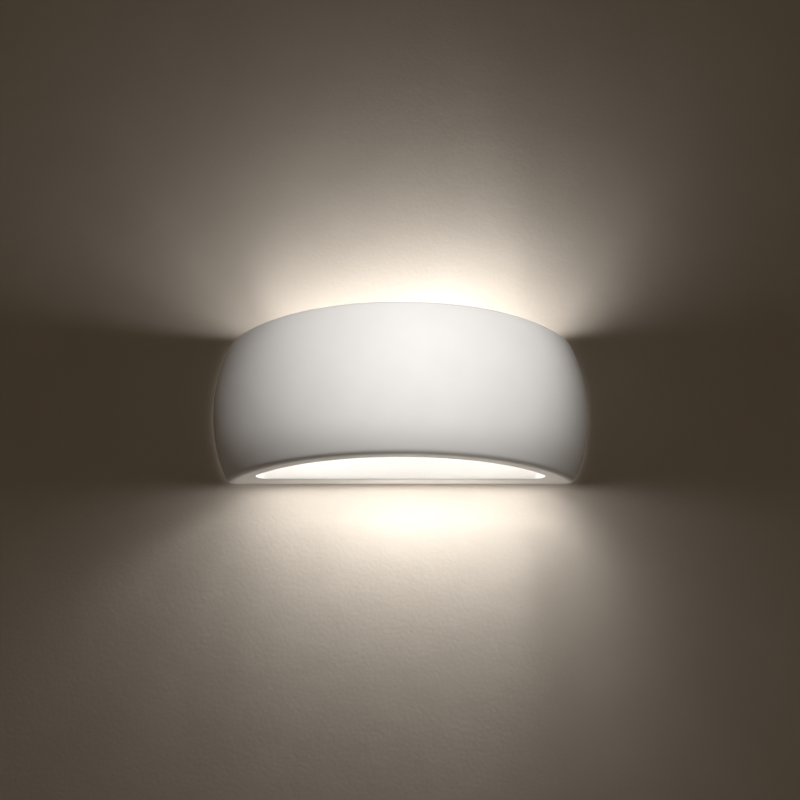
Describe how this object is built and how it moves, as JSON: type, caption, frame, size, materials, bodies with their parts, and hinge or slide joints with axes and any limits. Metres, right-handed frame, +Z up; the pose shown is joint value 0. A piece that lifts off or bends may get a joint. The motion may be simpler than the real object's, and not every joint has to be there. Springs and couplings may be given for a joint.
{
  "type": "flush mount wall sconce",
  "caption": "Half-barrel ceramic wall light, open above and below, with an E27 holder and lamp on a steel bracket, clamped to a slotted wall bar.",
  "frame": {"origin": "on the wall, midway between the two screw slots of the wall bar", "axes": "+X to the right as the lamp is seen on its wall, +Y into the wall, +Z up; the front faces -Y"},
  "size_m": [0.3202, 0.116, 0.126],
  "materials": {
    "ceramic": "matt bisque, rubbed smooth",
    "zinc_steel": "bright zinc plate",
    "bright_steel": "nickel plate",
    "black_rubber": "matt",
    "bracket_paint": "white powder coat",
    "terminal_plastic": "natural polyamide",
    "brass": "pressed, unpolished",
    "tinned_brass": "tin plate",
    "earth_screw_steel": "bright zinc plate",
    "holder_plastic": "moulded, satin",
    "porcelain": "unglazed steatite",
    "brown_insulation": "smooth",
    "blue_insulation": "smooth",
    "earth_insulation": "green with a yellow stripe",
    "bulb_solder": "soldered",
    "black_glass": "fused glass",
    "bulb_nickel": "nickel plate",
    "bulb_plastic": "satin",
    "light_board": "white solder mask",
    "opal_globe": "opal, lit"
  },
  "bodies": {
    "fixture": {"ceramic_body": "ceramic", "wall_bar": "zinc_steel", "wall_bar_studs": "bright_steel", "cushion_washers": "black_rubber", "mounting_bracket": "bracket_paint", "clamp_washers": "zinc_steel", "clamp_nuts": "bright_steel", "cable_grommet": "black_rubber", "terminal_block": "terminal_plastic", "terminal_sleeves": "brass", "terminal_clamp_screws": "bright_steel", "terminal_fixing_screws": "bright_steel", "earth_ring_terminal": "tinned_brass", "earth_tooth_washer": "zinc_steel", "earth_screw": "earth_screw_steel", "threaded_nipple": "zinc_steel", "nipple_spring_washer": "zinc_steel", "nipple_nut": "zinc_steel", "holder_cap": "holder_plastic", "holder_insert": "porcelain", "holder_skirt": "holder_plastic", "holder_thread_shell": "brass", "centre_contact": "brass", "side_contact": "brass", "contact_pillars": "brass", "contact_screws": "bright_steel", "line_wire": "brown_insulation", "neutral_wire": "blue_insulation", "earth_wire": "earth_insulation"},
    "bulb_tip": {"bulb_centre_contact": "bulb_solder"},
    "bulb": {"bulb_insulator": "black_glass", "bulb_screw_cap": "bulb_nickel", "bulb_housing": "bulb_plastic", "bulb_light_board": "light_board", "bulb_globe": "opal_globe"}
  },
  "joints": [
    {"name": "bulb_travel", "type": "slide", "parent": "fixture", "child": "bulb_tip", "axis": [1, 0, 0], "range_m": [0, 0.01815]},
    {"name": "bulb_turn", "type": "hinge", "parent": "bulb_tip", "child": "bulb", "pos_m": [-0.054, -0.061, 0], "axis": [1, 0, 0], "range_deg": [0, 1800]}
  ],
  "couplings": [
    {"joint": "bulb_travel", "follows": "bulb_turn", "m_per_rad": 0.00057757}
  ]
}
